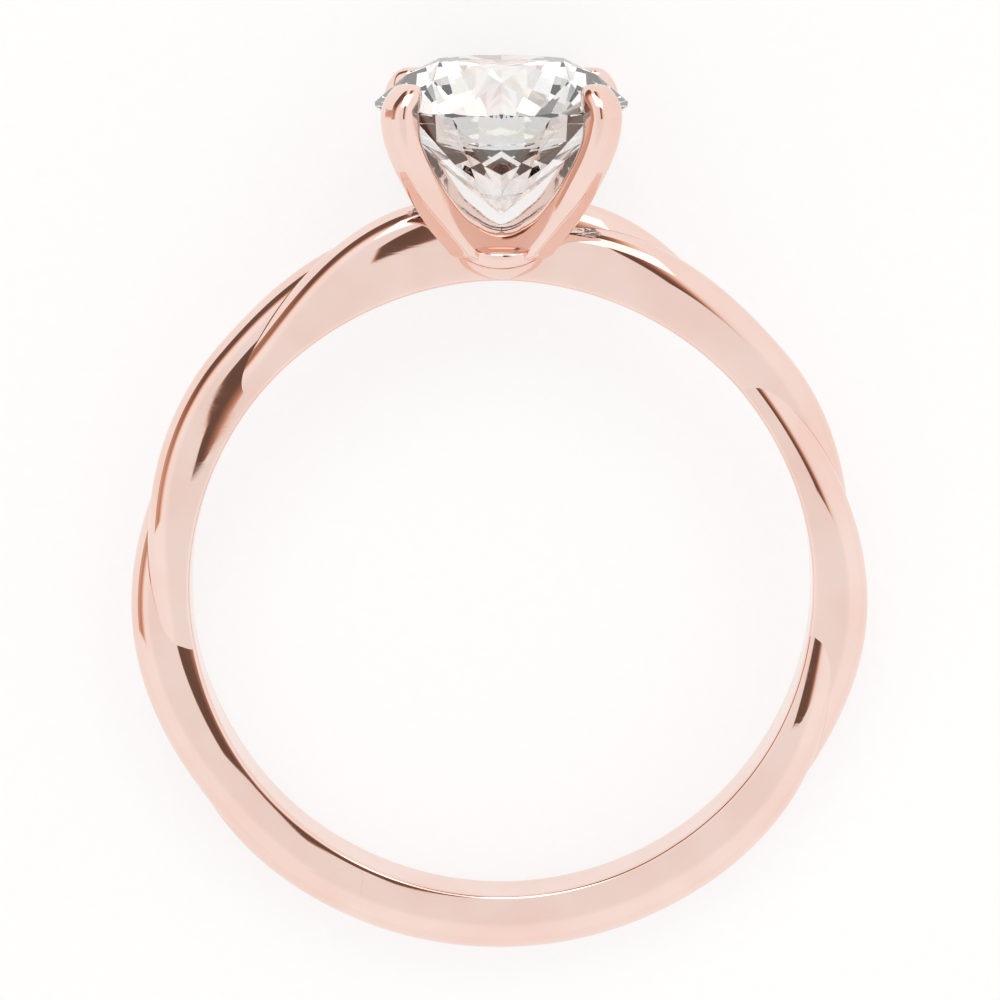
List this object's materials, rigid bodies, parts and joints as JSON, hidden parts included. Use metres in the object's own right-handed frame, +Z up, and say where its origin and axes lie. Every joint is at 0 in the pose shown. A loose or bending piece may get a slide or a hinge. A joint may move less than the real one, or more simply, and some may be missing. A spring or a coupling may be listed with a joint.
{
  "type": "twisted shank ring",
  "caption": "Finger ring with a twisted shank of half-round strands and a round faceted stone held in a pronged head, lying on its side.",
  "frame": {"origin": "centre of the bounding box's bottom face, on the surface that the ring lies on", "axes": "+Z up from the surface, +Y along the ring's length towards its head, +X across the finger hole"},
  "size_m": [0.0196, 0.024, 0.0066],
  "materials": {
    "metal": "polished rose gold",
    "stone": "clear, facet-cut and polished"
  },
  "bodies": {
    "root": {"shank_and_head": "metal", "round_stone": "stone"}
  },
  "joints": []
}
